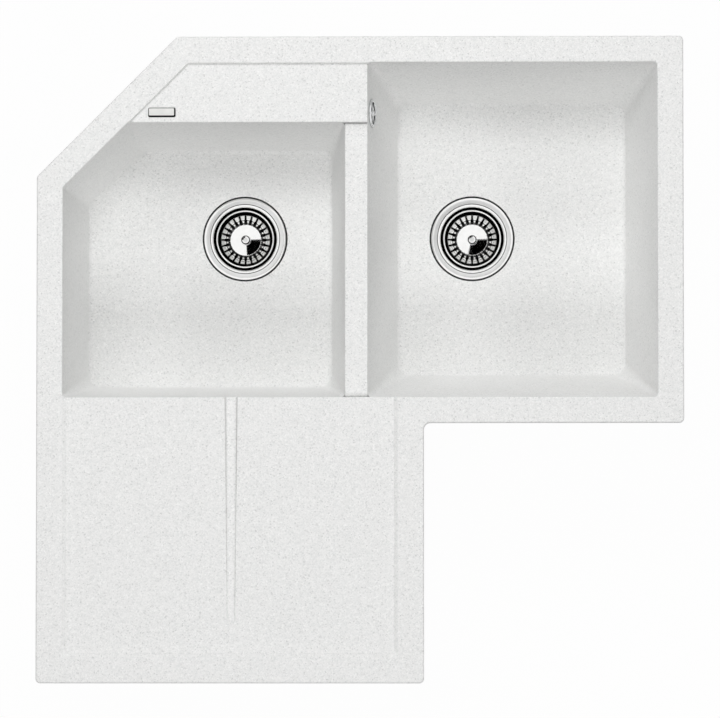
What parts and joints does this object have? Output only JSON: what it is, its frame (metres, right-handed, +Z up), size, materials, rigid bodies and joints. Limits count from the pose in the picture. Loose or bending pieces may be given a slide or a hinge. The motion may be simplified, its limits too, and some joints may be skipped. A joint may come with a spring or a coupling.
{
  "type": "corner kitchen sink",
  "caption": "L-shaped corner kitchen sink of granite composite with bowls, drainer, basket strainers, overflow, waste pipework and worktop clamps.",
  "frame": {"origin": "middle of the rim's seat at the cut back corner, in the plane where the rim rests on the worktop", "axes": "+Z up out of the bowls, +X to the right and +Y to the back as the user stands at the drainer's front edge"},
  "size_m": [0.83, 0.83, 0.3755],
  "materials": {
    "basket_steel": "polished",
    "chrome_trim": "polished",
    "clamp_steel": "zinc plated",
    "flange_steel": "satin",
    "granite_composite": "fine grained matt",
    "hose_plastic": "satin",
    "nut_plastic": "satin",
    "plug_plastic": "matt",
    "screw_steel": "bright",
    "seal_rubber": "matt",
    "waste_plastic": "satin"
  },
  "bodies": {
    "sink": {"badge_plate": "chrome_trim", "clamp_plugs": "plug_plastic", "clamp_screws": "screw_steel", "cross_pipe": "waste_plastic", "left_drain_screw": "screw_steel", "left_flange_gasket": "seal_rubber", "left_lower_gasket": "seal_rubber", "left_outlet_elbow": "waste_plastic", "left_pipe_nut": "nut_plastic", "left_strainer_cup": "flange_steel", "left_union_nut": "nut_plastic", "left_valve_body": "waste_plastic", "overflow_gasket": "seal_rubber", "overflow_hose": "hose_plastic", "overflow_housing": "waste_plastic", "overflow_rosette": "chrome_trim", "overflow_screw": "screw_steel", "pipe_seals": "seal_rubber", "right_drain_screw": "screw_steel", "right_flange_gasket": "seal_rubber", "right_lower_gasket": "seal_rubber", "right_outlet_tee": "waste_plastic", "right_pipe_nut": "nut_plastic", "right_strainer_cup": "flange_steel", "right_union_nut": "nut_plastic", "right_valve_body": "waste_plastic", "sink_body": "granite_composite", "union_washers": "seal_rubber"},
    "left_basket_set": {"left_basket": "basket_steel", "left_basket_knob": "basket_steel", "left_basket_stopper": "seal_rubber"},
    "right_basket_set": {"right_basket": "basket_steel", "right_basket_knob": "basket_steel", "right_basket_stopper": "seal_rubber"},
    "clamp_1": {"clamp_1_strip": "clamp_steel"},
    "clamp_2": {"clamp_2_strip": "clamp_steel"},
    "clamp_3": {"clamp_3_strip": "clamp_steel"},
    "clamp_4": {"clamp_4_strip": "clamp_steel"},
    "clamp_5": {"clamp_5_strip": "clamp_steel"},
    "clamp_6": {"clamp_6_strip": "clamp_steel"},
    "clamp_7": {"clamp_7_strip": "clamp_steel"},
    "clamp_8": {"clamp_8_strip": "clamp_steel"}
  },
  "joints": [
    {"name": "left_basket_lift", "type": "slide", "parent": "sink", "child": "left_basket_set", "axis": [0, 0, 1], "range_m": [0, 0.26]},
    {"name": "right_basket_lift", "type": "slide", "parent": "sink", "child": "right_basket_set", "axis": [0, 0, 1], "range_m": [0, 0.26]},
    {"name": "clamp_1_swivel", "type": "hinge", "parent": "sink", "child": "clamp_1", "pos_m": [0.17146, -0.71646, -0.046], "axis": [0, 0, 1], "range_deg": [0, 90]},
    {"name": "clamp_2_swivel", "type": "hinge", "parent": "sink", "child": "clamp_2", "pos_m": [-0.07354, -0.55646, -0.046], "axis": [0, 0, 1], "range_deg": [0, 90]},
    {"name": "clamp_3_swivel", "type": "hinge", "parent": "sink", "child": "clamp_3", "pos_m": [-0.07354, -0.17646, -0.046], "axis": [0, 0, 1], "range_deg": [0, 90]},
    {"name": "clamp_4_swivel", "type": "hinge", "parent": "sink", "child": "clamp_4", "pos_m": [0.20646, 0.07354, -0.046], "axis": [0, 0, 1], "range_deg": [0, 90]},
    {"name": "clamp_5_swivel", "type": "hinge", "parent": "sink", "child": "clamp_5", "pos_m": [0.55646, 0.07354, -0.046], "axis": [0, 0, 1], "range_deg": [0, 90]},
    {"name": "clamp_6_swivel", "type": "hinge", "parent": "sink", "child": "clamp_6", "pos_m": [0.71646, -0.14646, -0.046], "axis": [0, 0, 1], "range_deg": [0, 90]},
    {"name": "clamp_7_swivel", "type": "hinge", "parent": "sink", "child": "clamp_7", "pos_m": [0.55646, -0.38346, -0.046], "axis": [0, 0, 1], "range_deg": [0, 90]},
    {"name": "clamp_8_swivel", "type": "hinge", "parent": "sink", "child": "clamp_8", "pos_m": [0.38346, -0.54646, -0.046], "axis": [0, 0, 1], "range_deg": [0, 90]}
  ]
}
